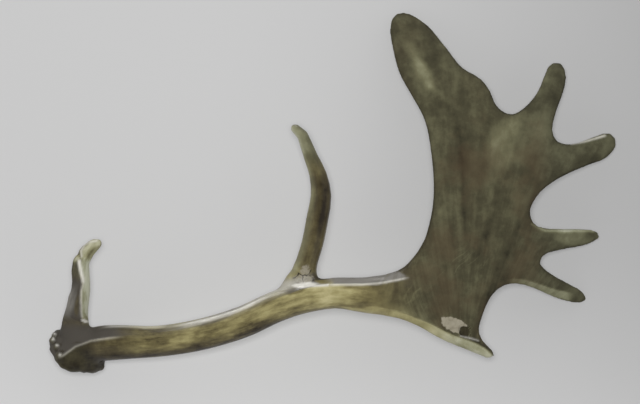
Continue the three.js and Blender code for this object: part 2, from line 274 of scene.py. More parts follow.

# The beam is palest below the trez tine. Painted shade darkens it beside the burr and along its lower
# side, a painted grey sheen lies on its flat face and beside its shoulder, and painted highlights run
# along its top edge, its ridge and its shoulder.
# x made ragged, to end the painted shade of the lower side and to start the spur's pale band.
ragged_x = x + 0.010 * clouds(place / 0.012)
far_edge = between(faces_up, 0.0, 0.12, 0.38, 0.55) * ramp(faces_y, 0.2, 0.5)
# Painted highlight: a pale line along the beam's top edge, on faces turned up and towards the back.
top_edge_highlight = on_beam * far_edge * between(beam_along, 0.02, 0.035, 0.085, 0.12)
beam_tone = np.interp(beam_along, *BEAM_TONE) + 0.30 * top_edge_highlight
# Painted shade: the lower side of the beam is darkened, fading out towards the palm.
beam_tone -= 0.50 * ramp(np.abs(beam_angle), 114, 154) * fade(ragged_x, -0.045, 0.025)
facet_width = np.interp(x, *FACET_WIDTH)
palm_facet = ramp(facet_gap, 0.0, 0.001) * fade(facet_gap, facet_width - 0.0015, facet_width + 0.0015)
palm_facet *= by_facet * ramp(faces_up, 0.0, 0.3)
beam_facet = ramp(ridge_angle - beam_angle, 0, 5) * ramp(beam_angle, -30, 0) * on_beam * (1 - by_facet)
beam_facet = np.maximum(beam_facet, palm_facet)
past_shoulder = beam_angle - shoulder_angle
under_shoulder = on_beam * between(past_shoulder, 5, 12, 20, 32)
under_shoulder *= between(beam_along, 0.05, 0.08, 0.14, 0.19)
# Painted grey sheen: the flat faces and the band below the shoulder are painted grey, as reflections.
beam_grey_sheen = beam_facet * np.interp(beam_along, *BEAM_SHEEN) * (1 - top_edge_highlight)
beam_grey_sheen = np.maximum(beam_grey_sheen, 0.55 * under_shoulder)
# Painted highlight along the edge of the flat face by the palm.
facet_edge_highlight = by_facet * upper * soft_line(facet_gap, 0.0010)
# Painted highlight: a broken pale line along the beam's shoulder.
shoulder_highlight = on_beam * soft_line(np.radians(past_shoulder) * BEAM_RADIUS, 0.0030)
shoulder_highlight *= ramp(beam_along, 0.07, 0.13) * (1 - facet_start)
shoulder_highlight *= np.clip(1.0 + 0.55 * fibres(beam_grain, 0.009, 0.003), 0, 1)
shoulder_highlight *= 1 - 0.6 * ramp(beam_along, 0.18, 0.21)
# Painted reflection: a pale band above the shoulder, up to the top edge.
shoulder_top_sheen = on_beam * upper * ramp(-past_shoulder, -4, 4)
shoulder_top_sheen *= ramp(beam_along, 0.10, 0.15) * (1 - facet_start)

# The burr: the rough crown at the foot of the beam, where the antler grew out of the skull. It is a ring of
# bony pearls round a broken-off foot.
BURR_MIDDLE = (-0.2580, -0.1604, 0.023)
BURR_RIDGE = [
    (-0.2765, -0.1647), (-0.2711, -0.1631), (-0.2569, -0.1526), (-0.2412, -0.1470), (-0.2186, -0.1438),
    (-0.1970, -0.1417),
]
BURR_RIDGE_HEIGHT = 0.0010
BURR_RIDGE_SPREAD = 0.0016
BURR_LUMP_SIZE = 0.0075
BURR_LUMP_HEIGHT = 0.0010
LEFT_PEARLS = [
    (-0.2805, -0.1430, 0.0030), (-0.2815, -0.1480, 0.0034), (-0.2770, -0.1535, 0.0032),
    (-0.2735, -0.1625, 0.0042),
]
PEARL_RISE = 0.6
GLINT_SHIFT = (0.0014, 0.0009)
BURR_BULGES = [
    (0.0020, (-0.2700, -0.1760, 0.018, 0.010, -35)), (0.0016, (-0.2360, -0.1780, 0.010, 0.008)),
    (-0.0010, (-0.2505, -0.1815, 0.007, 0.006)),
]
# Painted shade: the burr is painted very dark, as if it lay in shadow.
BURR_SHADE_TONE = 0.08


def spot(middle_x, middle_y, long, wide, turn=0.0):
    """A soft oval patch seen from above: 1 in its middle, 0 past its edge."""
    cos = math.cos(math.radians(turn))
    sin = math.sin(math.radians(turn))
    u = ((x - middle_x) * cos + (y - middle_y) * sin) / long
    v = ((y - middle_y) * cos - (x - middle_x) * sin) / wide
    return fade(np.hypot(u, v), 0.5, 1.0)


at_burr = ball(BURR_MIDDLE, 0.026, 0.040)
ridge_gap = past_line(BURR_RIDGE)
ridge_fade = upper * between(x, -0.275, -0.268, -0.225, -0.205)
lift += ridge_fade * BURR_RIDGE_HEIGHT * sharp_line(ridge_gap, BURR_RIDGE_SPREAD)
burr_pearly = at_burr * np.maximum(fade(x, -0.270, -0.262), 1 - upper)
lift += burr_pearly * BURR_LUMP_HEIGHT * clouds(place / BURR_LUMP_SIZE)
pearls = np.zeros(count)
pearl_glints = np.zeros(count)
for pearl_x, pearl_y, pearl_radius in LEFT_PEARLS:
    off_pearl = np.hypot(x - pearl_x, y - pearl_y) / pearl_radius
    pearl = upper * np.sqrt(np.clip(1 - off_pearl ** 2, 0, 1))
    lift += PEARL_RISE * pearl_radius * pearl
    pearls = np.maximum(pearls, pearl)
    # Painted highlight: a pale glint beside the top of each left pearl.
    off_glint = np.hypot(x - pearl_x - GLINT_SHIFT[0], y - pearl_y - GLINT_SHIFT[1])
    pearl_glints = np.maximum(pearl_glints, upper * soft_line(off_glint, 0.0013))
for height, oval in BURR_BULGES:
    lift += sideways * height * spot(*oval)
ridge_y = np.interp(x, *np.transpose(BURR_RIDGE))
# Painted shade: the flank above the burr's ridge, beside the brow tine, is painted grey.
burr_flank = (1 - pearls) * ramp(y, ridge_y, ridge_y + 0.0015) * fade(x, -0.225, -0.190)
burr_flank *= ramp(faces_up, 0.0, 0.3)
# The burr's ridge is paler along its crest, as wear and as a painted highlight.
ridge_line = ridge_fade * soft_line(ridge_gap, 0.0010)

# The brow tine: the first tine, which grew out of the beam beside the burr and bends forward at its knee. A
# sharp ridge parts its flat outer side, painted grey as shade, from its polished inner side, which is
# painted pale as the lit side.
BROW_LINE = [
    (-0.2585, -0.1379, 0.035), (-0.2575, -0.1239, 0.039), (-0.2555, -0.1129, 0.043),
    (-0.2520, -0.0959, 0.046), (-0.2515, -0.0799, 0.048), (-0.2505, -0.0679, 0.049),
    (-0.2440, -0.0579, 0.050), (-0.2365, -0.0509, 0.051),
]
BROW_LENGTH = 0.095
BROW_RIDGE = [
    (-0.2538, -0.0633), (-0.2536, -0.0695), (-0.2524, -0.0771), (-0.2504, -0.0851), (-0.2500, -0.0911),
    (-0.2511, -0.0970), (-0.2516, -0.1060), (-0.2518, -0.1181), (-0.2510, -0.1262),
]
BROW_RIDGE_HEIGHT = 0.0012
BROW_RIDGE_SPREAD = 0.002
BROW_BULGES = [
    (0.0013, (-0.2600, -0.0800, 0.034, 0.011, 82)), (0.0006, (-0.2605, -0.0750, 0.014, 0.007, 90)),
    (-0.0010, (-0.2600, -0.0915, 0.016, 0.007, 90)),
]
TIP_BULGE_HEIGHT = 0.0020
KNEE_GROOVE = [(-0.2536, -0.0593), (-0.2524, -0.0635), (-0.2512, -0.0670)]
KNEE_GROOVE_DEPTH = 0.0009
TIP_EDGE = [
    (-0.2509, -0.0632), (-0.2498, -0.0578), (-0.2466, -0.0528), (-0.2412, -0.0496),
    (-0.2353, -0.0468),
]

brow_along, brow_across, brow_out, _ = along_limb(BROW_LINE)
brow_grain = np.stack([brow_along, brow_across, brow_out], 1)
brow_share = np.clip(brow_along / BROW_LENGTH, 0, 1)
on_brow = ramp(y, -0.138, -0.118) * fade(x, -0.235, -0.215)
on_tip = on_brow * ramp(y, -0.068, -0.062)
brow_gap = past_line(BROW_RIDGE)
brow_ridge = on_brow * upper * sharp_line(brow_gap, BROW_RIDGE_SPREAD) * fade(y, -0.068, -0.060)
lift += BROW_RIDGE_HEIGHT * brow_ridge + on_brow * FURROW_DEPTH * fibres(brow_grain, 0.045, 0.005)
for height, oval in BROW_BULGES:
    lift += sideways * height * spot(*oval)
tip_bulge = ramp(faces_y - faces_x, 0.2, 0.9) * spot(-0.2462, -0.0525, 0.0130, 0.0070, 45)
knee_groove = upper * soft_line(past_line(KNEE_GROOVE), 0.0015)
lift += TIP_BULGE_HEIGHT * tip_bulge - KNEE_GROOVE_DEPTH * knee_groove

# Its inner side is painted pale olive as the lit side, and its tip is worn pale; its outer side is painted
# grey as shade, with a dark streak of its own. Painted highlights run along its ridge, its foot, the left
# edge of its lower part and the edge of its tip. The top of its knee is painted light, and its knee groove
# and the right of its tip are darkened as painted shade.
# The inner side, painted pale as the lit side, and the tip, which is worn pale.
brow_lit_side_and_pale_tip = np.maximum(ramp(brow_gap, -0.0004, 0.0010), ramp(brow_share, 0.70, 0.84))
brow_dark = spot(-0.2552, -0.1110, 0.0150, 0.0034, 85)
tip_gap = past_line(TIP_EDGE)
above_knee = ramp(y, -0.092, -0.078)
# Painted light and shade: the lit inner side is pale and the knee groove dark; the streak is the bone's own.
brow_tone = 0.28 + 0.59 * brow_lit_side_and_pale_tip - 0.30 * knee_groove - 0.12 * brow_dark
# The tip is darker, and painted shade darkens its right side, away from its left edge.
brow_tone -= 0.16 * ramp(brow_share, 0.66, 0.85) + 0.26 * on_tip * ramp(-tip_gap, 0.0045, 0.0072)
# Painted light: the top of the knee's rounded shoulder is painted pale.
brow_tone += 0.40 * spot(-0.2560, -0.0645, 0.0060, 0.0044, 50)
brow_green = on_brow * np.maximum(brow_lit_side_and_pale_tip, 0.8 * above_knee) * (1 - 0.30 * on_tip)
# Painted shade: the outer side is painted grey, less so above the knee and on the dark streak.
brow_shade_grey = on_brow * (1 - brow_lit_side_and_pale_tip) * (1 - 0.6 * brow_dark) * (1 - 0.7 * above_knee)
# Painted highlight along the ridge: broad above the knee, thin below it.
ridge_highlight_above_knee = soft_line(brow_gap - 0.0012, 0.0014) * between(y, -0.093, -0.087, -0.0680, -0.0640)
ridge_highlight_below_knee = soft_line(brow_gap - 0.0005, 0.0010) * between(y, -0.127, -0.122, -0.092, -0.086)
brow_ridge_highlight = on_brow * upper * np.maximum(ridge_highlight_above_knee, 0.5 * ridge_highlight_below_knee)
# Painted highlight at the foot of the ridge.
brow_foot_highlight = upper * spot(-0.2484, -0.1272, 0.0048, 0.0020, -24)
# Painted light along the left edge of the tine's lower part.
brow_left_edge_light = on_brow * upper * ramp(-faces_x, 0.3, 0.7) * between(y, -0.128, -0.112, -0.102, -0.088)
# Painted highlight along the left edge of the tip.
tip_edge_highlight = on_tip * upper * soft_line(tip_gap, 0.0010)

# The trez tine: the long tine that grew out of the middle of the beam, bent like an S and round in section.
# A furrow runs up its face, and the bone at its root is worn bare and cracked.
TREZ_LINE = [
    (-0.0315, -0.0889, 0.060), (-0.0285, -0.0799, 0.060), (-0.0260, -0.0679, 0.059),
    (-0.0205, -0.0499, 0.057), (-0.0155, -0.0239, 0.054), (-0.0120, -0.0019, 0.052),
    (-0.0150, 0.0191, 0.052), (-0.0215, 0.0351, 0.054), (-0.0265, 0.0481, 0.057),
    (-0.0305, 0.0581, 0.060), (-0.0365, 0.0636, 0.062),
]
TREZ_START = 0.235
TREZ_LENGTH = 0.155
TREZ_FURROW_ANGLE = 118
TREZ_FURROW_WIDTH = 18
TREZ_FURROW_DEPTH = 0.0006
BARE_ROOT = [(-0.0290, -0.0840, 0.0140, 0.0085), (-0.0278, -0.0788, 0.0075, 0.0125, -15)]
BARE_ROOT_CHIPS = 0.0004
CHIP_SIZE = 0.0045
ROOT_LEDGE = [(-0.0208, -0.0917), (-0.0129, -0.0914), (-0.0050, -0.0908)]
ROOT_TONE = 0.22

trez_along, trez_across, trez_out, trez_angle = along_limb(TREZ_LINE, TREZ_START)
trez_grain = np.stack([trez_along, trez_across, trez_out], 1)
trez_share = np.clip((trez_along - TREZ_START) / TREZ_LENGTH, 0, 1)
on_trez = ramp(y, -0.090, -0.070) * between(x, -0.075, -0.055, 0.010, 0.030)
trez_furrow = soft_line(trez_angle - TREZ_FURROW_ANGLE, TREZ_FURROW_WIDTH)
trez_furrow *= between(trez_share, 0.1, 0.3, 0.6, 0.85)
trez_bare = upper * np.maximum.reduce([spot(*oval) for oval in BARE_ROOT])
bare_chips = clouds(place / CHIP_SIZE)
lift += on_trez * (FURROW_DEPTH * fibres(trez_grain, 0.055, 0.005) - TREZ_FURROW_DEPTH * trez_furrow)
lift += trez_bare * BARE_ROOT_CHIPS * bare_chips

# It is dark brown with a paler edge and turns olive and pale at its tip. The ledge below its root is worn
# pale and carries a painted highlight, with a painted shadow below it.
trez_tone = 0.22 + 0.27 * fade(np.abs(trez_angle), 30, 80) + 0.15 * fade(trez_share, 0.10, 0.40)
trez_tone += 0.10 * ramp(trez_share, 0.66, 0.80) - 0.10 * trez_furrow
trez_tone += 0.30 * ramp(trez_share, 0.82, 0.94) * (1 - 0.5 * ramp(trez_angle, 90, 140))
trez_green = on_trez * np.maximum(0.9 * ramp(trez_share, 0.7, 0.9), 0.6 * fade(np.abs(trez_angle), 40, 80))
# The ledge below the root: worn pale, with a painted highlight on it.
worn_lit_ledge = np.maximum(spot(-0.0285, -0.0908, 0.0180, 0.0032, 3), soft_line(past_line(ROOT_LEDGE), 0.0011))
worn_lit_ledge *= upper
root_flank = spot(-0.0115, -0.0855, 0.0145, 0.0060, -25)
# Painted shadow below the ledge.
root_shade = spot(-0.0370, -0.0965, 0.0130, 0.0034, 14)

# The palm: the broad plate at the end of the beam, drawn out into a long front lobe, four points and a spur.
# Its face is gently dented, with faint furrows that fan out from the root of the palm.
FAN_MIDDLE = (0.1285, -0.192)
FAN_START = 0.21
FAN_ANGLE = 2.28
FAN_RADIUS = 0.22
SPUR_WAY = (0.926, -0.377)
DENT_SIZE = 0.035
DENT_DEPTH = 0.0007
PALM_FURROW_DEPTH = 0.00025
SPUR_RIM = [
    (0.0207, -0.1138), (0.0286, -0.1122), (0.0385, -0.1109), (0.0510, -0.1128), (0.0583, -0.1147),
    (0.0663, -0.1167), (0.0732, -0.1187), (0.0815, -0.1223), (0.0901, -0.1258), (0.0991, -0.1298),
    (0.1075, -0.1343), (0.1183, -0.1398), (0.1308, -0.1444), (0.1408, -0.1483), (0.1511, -0.1539),
    (0.1586, -0.1605),
]
SPUR_RIM_HEIGHT = 0.0007
SPUR_RIM_SPREAD = 0.002
SPUR_BARE_CHIPS = 0.0003
SPUR_PIT_DEPTH = 0.0014
SPUR_CHIP = [(0.1268, -0.1411), (0.1362, -0.1440), (0.1444, -0.1467)]
BAND_TONE = ((0.025, 0.035, 0.050, 0.080, 0.110), (0.50, 0.62, 0.70, 0.70, 0.92))
BAND_FADE_TONE = 0.56
LOW_POINT_BEVEL = [
    (0.1746, -0.0857), (0.1797, -0.0843), (0.1929, -0.0857), (0.2084, -0.0908), (0.2239, -0.0961),
    (0.2396, -0.0995), (0.2481, -0.1047),
]
BEVEL_HEIGHT = 0.0008
BEVEL_SPREAD = 0.0018
THIRD_POINT_EDGE = [
    (0.1992, -0.0305), (0.2123, -0.0370), (0.2277, -0.0376), (0.2462, -0.0371),
    (0.2630, -0.0377),
]
SECOND_POINT_EDGE = [(0.2400, 0.0500), (0.2527, 0.0522), (0.2650, 0.0556), (0.2738, 0.0582)]
LOBE_STREAK = [(0.0775, 0.1486), (0.0824, 0.1383), (0.0873, 0.1280), (0.0922, 0.1188), (0.0971, 0.1077)]
LOBE_TRAIL = [(0.0971, 0.1077), (0.1050, 0.1016), (0.1129, 0.0945), (0.1188, 0.0875)]
DARK_STREAK = [(0.1277, 0.0654), (0.1306, 0.0285), (0.1324, -0.0114), (0.1322, -0.0512)]
INNER_FACE_TONE = 0.28


def mixed(under, over, mask):
    """One value where the mask is 0, the other where it is 1."""
    return under + (over - under) * mask


on_palm = np.maximum(ramp(x, 0.035, 0.095), ramp(x, 0.040, 0.050) * ramp(y, -0.075, -0.045))
fan_x = x - FAN_MIDDLE[0]
fan_y = y - FAN_MIDDLE[1]
fan_along = np.hypot(fan_x, fan_y) + FAN_START
fan_across = (np.arctan2(fan_y, fan_x) - FAN_ANGLE) * FAN_RADIUS
fan_grain = np.stack([fan_along, fan_across, z], 1)
spur_grain = np.stack([SPUR_WAY[0] * x + SPUR_WAY[1] * y, SPUR_WAY[0] * y - SPUR_WAY[1] * x, z], 1)
rim_gap = past_line(SPUR_RIM)
spur_band = ramp(-rim_gap, -0.0005, 0.0015) * ramp(ragged_x, 0.014, 0.042)
palm_grain = mixed(fan_grain, spur_grain, spur_band[:, None])
palm_dents = clouds(place / DENT_SIZE)
bevel_gap = past_line(LOW_POINT_BEVEL)
spur_bare = spot(0.1205, -0.1306, 0.0185, 0.0090, -24) * upper
spur_pit = upper * ramp(spot(0.1308, -0.1378, 0.0068, 0.0072) + 0.35 * clouds(place / 0.0035), 0.25, 0.65)
lift += on_palm * (DENT_DEPTH * palm_dents + PALM_FURROW_DEPTH * fibres(fan_grain, 0.09, 0.010))
lift += upper * ramp(x, 0.03, 0.06) * SPUR_RIM_HEIGHT * sharp_line(rim_gap, SPUR_RIM_SPREAD)
lift += upper * BEVEL_HEIGHT * sharp_line(bevel_gap, BEVEL_SPREAD)
lift += spur_bare * SPUR_BARE_CHIPS * bare_chips - spur_pit * SPUR_PIT_DEPTH

# It is dark olive with soft paler and darker streaks, and pale along the edges of the second and third
# points and along the rim of the spur. The lower bevel of the lowest point is painted pale as painted
# light, and the palm's edges and steeper faces are darkened as painted shade.
inner_palm = ramp(faces_up, 0.80, 0.95)
for _ in range(60):
    inner_palm = neighbour_mean(inner_palm)
# Painted shade: the palm is a little darker where its face turns away, towards its edges.
palm_tone = 0.285 + 0.05 * palm_dents - 0.04 * (1 - inner_palm) + 0.03 * ramp(y, 0.10, 0.14)
lobe_streak = 0.18 * soft_line(past_line(LOBE_STREAK), 0.0052)
lobe_streak += 0.13 * spot(0.0905, 0.1215, 0.0230, 0.0095, -64)
lobe_streak += 0.07 * soft_line(past_line(LOBE_TRAIL), 0.0030)
palm_tone += lobe_streak * (0.95 + 0.3 * clouds(place / 0.009))
dark_gap = past_line(DARK_STREAK)
palm_tone -= 0.07 * soft_line(dark_gap, 0.006) + 0.06 * soft_line(dark_gap + 0.002, 0.0018)
# A paler zone, and painted shade on the palm's steeper upper faces.
palm_tone += 0.20 * spot(0.1855, 0.0554, 0.045, 0.030, 40) - 0.10 * fade(faces_up, 0.55, 0.95) * upper
palm_tone += 0.42 * soft_line(past_line(THIRD_POINT_EDGE), 0.0016)
palm_tone += 0.24 * spot(0.2410, -0.0440, 0.024, 0.011, -5)
second_edge = upper * soft_line(past_line(SECOND_POINT_EDGE), 0.0011)
palm_tone += 0.25 * second_edge + 0.03 * ramp(x, 0.20, 0.235) * fade(y, 0.0, 0.03)
# Painted light: the lower bevel of the lowest point is painted pale.
bevel = between(-bevel_gap, -0.0005, 0.001, 0.007, 0.010) * ramp(x, 0.172, 0.182)
palm_tone += 0.38 * bevel * fade(x, 0.232, 0.246)
palm_tone = np.where(upper > 0, palm_tone, INNER_FACE_TONE)
band_tone = np.interp(x, *BAND_TONE) + 0.10 * clouds(place / 0.008)
band_fade = ramp(-rim_gap, -0.011, 0.000) * ramp(x, 0.030, 0.046)
band_fade *= 1 - 0.5 * ramp(x, 0.072, 0.082) - 0.5 * ramp(x, 0.090, 0.110)
band_fade *= upper * np.clip(0.95 + 0.6 * clouds(place / 0.007), 0, 1)
palm_green = on_palm * (0.85 + 0.15 * ramp(x, 0.17, 0.22)) * (1 - 0.6 * spur_band * fade(x, 0.09, 0.13))
spur_chip = upper * soft_line(past_line(SPUR_CHIP), 0.0009)
scratched = upper * spot(0.1120, -0.0850, 0.060, 0.040, 30)
rusty = on_palm * fade(x, 0.195, 0.225) * (1 - spur_band) * (1 - 0.7 * ramp(y, 0.09, 0.12))

# The surface: all the limbs are one bone, so their ridges and furrows rise out of one skin, and the grain
# and the stains of each run into the next, with the light and shade painted on them. The skin keeps them,
# one value a vertex, for the colour to read.
off_limbs = (1 - on_brow - on_trez - on_palm).clip(0, 1)
grain = np.zeros((count, 3))
tone = np.zeros(count)
for share, limb_grain, limb_tone in (
    (off_limbs, beam_grain, beam_tone), (on_brow, brow_grain, brow_tone),
    (on_trez, trez_grain, trez_tone), (on_palm, palm_grain, palm_tone),
):
    grain += limb_grain * share[:, None]
    tone += limb_tone * share
# Painted shade: the burr is painted very dark.
tone = mixed(tone, BURR_SHADE_TONE, at_burr)
tone = mixed(tone, BAND_FADE_TONE, band_fade)
tone = mixed(tone, band_tone, spur_band)
# The burr's ridge crest: worn paler, with a painted highlight.
tone += 0.16 * ridge_line
# The olive flank beside the root, and the painted shadow below the ledge.
tone = mixed(tone, ROOT_TONE, 0.8 * root_flank) - 0.30 * root_shade

place = place + facing * lift[:, None]
place[:, 2] = np.maximum(place[:, 2], 0)
facing = laid_normals(place)
skin.polygons.foreach_set("use_smooth", np.ones(len(skin.polygons), dtype=bool))
bulge = np.einsum("ij,ij->i", place - neighbour_middle(place), facing)
for _ in range(2):
    bulge = neighbour_mean(bulge)

limb_streaks = (1 - np.maximum(ramp(x, 0.016, 0.056), ramp(on_palm, 0.1, 0.4))) * (1 - 0.8 * at_burr)
limb_streaks *= ramp(beam_along, 0.03, 0.08).clip(0.35, 1) * (1 - on_trez)
dull = np.maximum.reduce([
    0.50 * beam_facet * facet_start, 0.9 * beam_facet * fade(beam_along, 0.07, 0.14), 0.9 * burr_flank,
])
dents = ramp(-bulge, 0.00002, 0.00012) * (1 - spur_pit) * (1 - 0.7 * on_trez)
surface = {
    "tone": tone,
    "green": np.maximum.reduce([palm_green, brow_green, trez_green, 0.6 * at_burr]),
    # Painted grey: a sheen on flat faces, and shade on the brow tine's outer side and the burr's flank.
    "grey": np.maximum.reduce([beam_grey_sheen, burr_flank * (1 - on_brow), brow_shade_grey]) * (1 - root_flank),
    "streaky": np.maximum.reduce([limb_streaks, 0.32 * on_trez, on_brow]),
    "scratched": scratched,
    "bare": np.maximum(spur_bare * (1 - spur_pit), 0.57 * trez_bare),
    "cracked": trez_bare,
    "rusty": rusty,
    "glossy": (1 - on_palm) * (1 - dull),
    # Pale wear, and painted highlights along ridges, edges and the pearls.
    "wear_and_highlight": np.maximum.reduce([
        worn_lit_ledge, 0.75 * facet_edge_highlight, brow_ridge_highlight, 0.8 * brow_foot_highlight, 0.22 * brow_left_edge_light, 0.6 * tip_edge_highlight,
        shoulder_highlight, 0.48 * shoulder_top_sheen, 0.3 * ridge_line, 0.45 * top_edge_highlight, 0.75 * pearl_glints,
        0.5 * spur_chip, 0.6 * second_edge, 0.22 * palm_facet,
    ]),
    "crown": ramp(bulge, 0.00005, 0.00018),
    "hollow": np.maximum(dents, 0.6 * spur_pit),
}
skin.attributes.new("grain", "FLOAT_VECTOR", "POINT").data.foreach_set("vector", grain.ravel())
for name, values in surface.items():
    skin.attributes.new(name, "FLOAT", "POINT").data.foreach_set("value", np.clip(values, 0, 1))

# The colour: sap and bark stained the bone brown and olive while the deer rubbed it clean, in streaks along
# the grain of the limbs and in clouds on the palm. Hollows stayed dark and ridges are worn pale. Painted
# highlights, a painted grey sheen and painted shade lie over the stains.
BROWN_STAIN = [(44, 37, 27), (84, 76, 54), (126, 117, 80), (164, 155, 109), (196, 187, 141)]
OLIVE_STAIN = [(46, 44, 36), (79, 77, 60), (112, 111, 87), (148, 148, 121), (184, 185, 164)]
BARE_BONE = [(100, 93, 78), (165, 158, 139), (192, 186, 169)]
RUST_BROWN = (84, 72, 55)
# Painted grey: a sheen on flat faces, and shade on the brow tine's outer side and the burr's flank.
GREY_SHEEN_AND_SHADE = (84, 80, 74)
HOLLOW_BROWN = (46, 40, 28)
CRACKED_GREY = (84, 78, 68)
CRACK_BROWN = (50, 44, 34)
# Pale wear and painted highlights.
PALE_WEAR_AND_HIGHLIGHT = (232, 229, 220)
SCRATCH_ANGLE = math.radians(-50)

bone = bpy.data.materials.new("antler_bone")
bone.use_nodes = True
tree = bone.node_tree
shader = tree.nodes["Principled BSDF"]


def made(kind, wires, **settings):
    """A node in the tree at hand with its settings, each input wired to an output or set to a value."""
    node = tree.nodes.new(kind)
    for name, setting in settings.items():
        setattr(node, name, setting)
    for name, value in wires.items():
        if isinstance(value, bpy.types.NodeSocket):
            tree.links.new(value, node.inputs[name])
        else:
            node.inputs[name].default_value = value
    return node


def kept(name):
    """The value kept on the skin under this name."""
    return made("ShaderNodeAttribute", {}, attribute_name=name).outputs["Fac"]


def cloudy(vector, scale, detail, rough):
    """Uneven values round 0.5, with this many waves to the metre each way."""
    stretched = made("ShaderNodeMapping", {"Vector": vector, "Scale": scale})
    wires = {"Vector": stretched.outputs[0], "Scale": 1.0, "Detail": detail, "Roughness": rough}
    return made("ShaderNodeTexNoise", wires).outputs["Fac"]


def bent(share, scale):
    """The place on the skin, shifted unevenly so that straight marks waver."""
    uneven = made("ShaderNodeTexNoise", {"Vector": here, "Scale": scale}).outputs["Color"]
    return made("ShaderNodeMix", {0: share, 4: here, 5: uneven}, data_type="VECTOR").outputs[1]


def eased(value, start, end, low=0.0, high=1.0):
    """Low where the value is at start, high where it is at end, and a smooth slope between them."""
    node = made(
        "ShaderNodeMapRange",
        {"Value": value, "From Min": start, "From Max": end, "To Min": low, "To Max": high},
        interpolation_type="SMOOTHSTEP",
    )
    return node.outputs["Result"]


def sum_of(first, second, times=1.0):
    """The first value, and the second so many times."""
    return made("ShaderNodeMath", {0: second, 1: times, 2: first}, operation="MULTIPLY_ADD").outputs[0]


def product(first, second):
    """The two values multiplied."""
    return made("ShaderNodeMath", {0: first, 1: second}, operation="MULTIPLY").outputs[0]


def blended(mask, under, over):
    """One colour where the mask is 0, the other where it is 1."""
    return made("ShaderNodeMix", {0: mask, 6: under, 7: over}, data_type="RGBA").outputs[2]


def shade(*screen_colour):
    """A colour in screen values from 0 to 255, as the amounts of light that a shader takes."""
    shares = [value / 255 for value in screen_colour]
    light = [share / 12.92 if share < 0.04045 else ((share + 0.055) / 1.055) ** 2.4 for share in shares]
    return (*light, 1.0)


def stain(value, colours):
    """Colours from dark to pale, picked by a value from 0 to 1."""
    node = made("ShaderNodeValToRGB", {"Fac": value})
    stops = node.color_ramp.elements
    stops[0].color = shade(*colours[0])
    stops[1].color = shade(*colours[-1])
    for step, colour in enumerate(colours[1:-1], 1):
        stops.new(step / (len(colours) - 1)).color = shade(*colour)
    return node.outputs["Color"]


grain_way = made("ShaderNodeAttribute", {}, attribute_name="grain").outputs["Vector"]
here = made("ShaderNodeTexCoord", {}).outputs["Object"]
streaks = cloudy(grain_way, (18, 110, 110), 5.0, 0.6)
smudges = cloudy(grain_way, (30, 100, 100), 5.0, 0.58)
threads = cloudy(grain_way, (75, 700, 700), 4.0, 0.6)
blotches = cloudy(here, (32, 32, 32), 8.0, 0.68)
patches = cloudy(here, (75, 75, 75), 6.0, 0.62)
veins = cloudy(grain_way, (16, 75, 30), 3.0, 0.55)
streaky_part = kept("streaky")
tone_now = kept("tone")
for marks, on_plate, on_limbs in (
    (streaks, 0.02, 0.95), (smudges, 0.02, 1.40), (blotches, 0.44, 0.36),
    (patches, 0.44, 0.50), (veins, 0.48, 0.0), (threads, 0.03, 0.13),
):
    tone_now = sum_of(tone_now, sum_of(-0.5, marks), eased(streaky_part, 0, 1, on_plate, on_limbs))
tone_now = sum_of(tone_now, kept("crown"), 0.12)
scratch_turn = {"Vector": bent(0.03, 22.0), "Rotation": (0, 0, SCRATCH_ANGLE)}
scratch_way = made("ShaderNodeMapping", scratch_turn).outputs[0]
scratches = eased(cloudy(scratch_way, (22, 360, 1), 2.0, 0.5), 0.60, 0.70)
tone_now = sum_of(tone_now, product(scratches, kept("scratched")), 0.10)
colour = blended(kept("green"), stain(tone_now, BROWN_STAIN), stain(tone_now, OLIVE_STAIN))
rust = eased(cloudy(here, (16, 16, 16), 5.0, 0.6), 0.46, 0.64, 0.0, 0.6)
colour = blended(product(rust, kept("rusty")), colour, shade(*RUST_BROWN))
# Painted grey sheen and shade, varied by the smudges.
colour = blended(product(kept("grey"), eased(smudges, 0.2, 0.45)), colour, shade(*GREY_SHEEN_AND_SHADE))
colour = blended(product(kept("hollow"), eased(streaks, 0.2, 0.5)), colour, shade(*HOLLOW_BROWN))
chips = cloudy(here, (170, 170, 170), 7.0, 0.7)
bare_now = eased(sum_of(kept("bare"), sum_of(-0.5, chips), 1.8), 0.30, 0.66, 0.0, 0.92)
bare_now = product(bare_now, eased(kept("bare"), 0.0, 0.2))
colour = blended(bare_now, colour, stain(chips, BARE_BONE))
colour = blended(eased(kept("cracked"), 0.0, 1.0, 0.0, 0.24), colour, shade(*CRACKED_GREY))
crack_cells = {"Vector": bent(0.012, 90.0), "Scale": 90.0}
cracks = made("ShaderNodeTexVoronoi", crack_cells, feature="DISTANCE_TO_EDGE").outputs["Distance"]
crack_lines = product(eased(cracks, 0.075, 0.02), eased(kept("cracked"), 0.2, 0.6))
crack_lines = product(crack_lines, eased(patches, 0.38, 0.50))
colour = blended(crack_lines, colour, shade(*CRACK_BROWN))
# Pale wear and painted highlights, varied by the smudges.
colour = blended(product(kept("wear_and_highlight"), eased(smudges, 0.30, 0.55, 0.70, 1.0)), colour, shade(*PALE_WEAR_AND_HIGHLIGHT))
tree.links.new(colour, shader.inputs["Base Color"])

